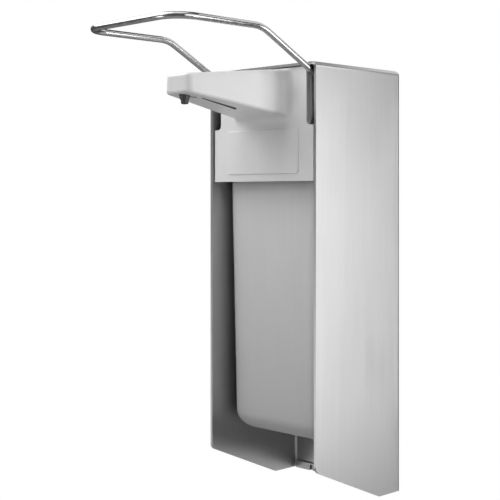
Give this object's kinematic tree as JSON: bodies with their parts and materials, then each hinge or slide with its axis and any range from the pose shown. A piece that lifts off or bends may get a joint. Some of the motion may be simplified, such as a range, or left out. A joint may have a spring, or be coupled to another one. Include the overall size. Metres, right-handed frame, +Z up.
{
  "type": "wall mounted soap dispenser",
  "caption": "Wall mounted arm-lever soap dispenser: satin steel housing, moulded spout arm, bent rod lever, piston pump and hanging bottle.",
  "frame": {"origin": "centre of the four wall screw holes, on the back face that lies against the wall", "axes": "+Z up; the wall is the plane y = 0 and the front with the spout and lever faces -Y; +X is to the right of someone facing the front"},
  "size_m": [0.082, 0.1645, 0.2535],
  "materials": {
    "brushed_steel": "satin, fine upright grain",
    "polished_steel": "bright polished round rod",
    "zinc_steel": "bright zinc plated",
    "yoke_casting": "tumbled casting",
    "slide_plastic": "natural acetal",
    "pump_plastic": "moulded, satin, light grey",
    "carrier_plastic": "moulded, fine spark texture",
    "tube_steel": "drawn stainless",
    "seal_rubber": "matt black",
    "nozzle_rubber": "matt dark grey",
    "dip_plastic": "milky extruded tube",
    "bottle_plastic": "blown, translucent grey-white"
  },
  "bodies": {
    "housing": {"housing_shell": "brushed_steel", "tray_hook_rail": "brushed_steel", "bearing_bracket": "brushed_steel", "left_bearing_bush": "slide_plastic", "right_bearing_bush": "slide_plastic", "left_guide_rail": "brushed_steel", "right_guide_rail": "brushed_steel"},
    "lever": {"lever_bow": "polished_steel", "lever_yoke": "yoke_casting", "yoke_set_screws": "zinc_steel", "presser_pad": "slide_plastic", "journal_clips": "zinc_steel"},
    "pump_unit": {"pump_front": "pump_plastic", "spout_channel_cover": "pump_plastic", "outlet_tube": "tube_steel", "nozzle_tip": "nozzle_rubber", "nozzle_sleeve": "nozzle_rubber", "pump_carrier": "carrier_plastic", "carrier_screws": "zinc_steel", "carrier_clip": "zinc_steel", "pump_cylinder": "carrier_plastic", "guide_bush": "slide_plastic", "rod_seal": "seal_rubber", "neck_gasket": "seal_rubber", "discharge_valve_body": "carrier_plastic", "valve_cage": "carrier_plastic", "dip_tube": "dip_plastic", "return_spring": "tube_steel"},
    "plunger": {"plunger_head": "pump_plastic", "piston_rod": "tube_steel", "piston": "carrier_plastic", "piston_seal": "seal_rubber"},
    "collar": {"collar_nut": "carrier_plastic"},
    "bottle_body": {"bottle": "bottle_plastic"},
    "suction_valve": {"suction_ball": "tube_steel"},
    "discharge_valve": {"discharge_ball": "tube_steel"}
  },
  "joints": [
    {"name": "lever_swing", "type": "hinge", "parent": "housing", "child": "lever", "pos_m": [0, -0.008, 0.0811], "axis": [1, 0, 0], "range_deg": [0, 20], "stiffness_Nm_per_rad": 0.6, "springref_deg": -14.32},
    {"name": "pump_draw_out", "type": "slide", "parent": "housing", "child": "pump_unit", "axis": [0, -1, 0], "range_m": [0, 0.07]},
    {"name": "plunger_slide", "type": "slide", "parent": "pump_unit", "child": "plunger", "axis": [0, 0, -1], "range_m": [0, 0.0082], "stiffness_N_per_m": 500, "springref_m": -0.012, "deforming": ["return_spring"]},
    {"name": "collar_turn", "type": "hinge", "parent": "pump_unit", "child": "collar", "pos_m": [0, -0.0303, 0.066], "axis": [0, 0, 1], "continuous": true},
    {"name": "bottle_release", "type": "slide", "parent": "pump_unit", "child": "bottle_body", "axis": [0, 0, -1], "range_m": [0, 0.15]},
    {"name": "suction_ball_lift", "type": "slide", "parent": "pump_unit", "child": "suction_valve", "axis": [0, 0, 1], "range_m": [0, 0.0012]},
    {"name": "discharge_ball_lift", "type": "slide", "parent": "pump_unit", "child": "discharge_valve", "axis": [0, 0, 1], "range_m": [0, 0.0025]}
  ],
  "couplings": [
    {"joint": "plunger_slide", "follows": "lever_swing", "m_per_rad": 0.02311}
  ]
}
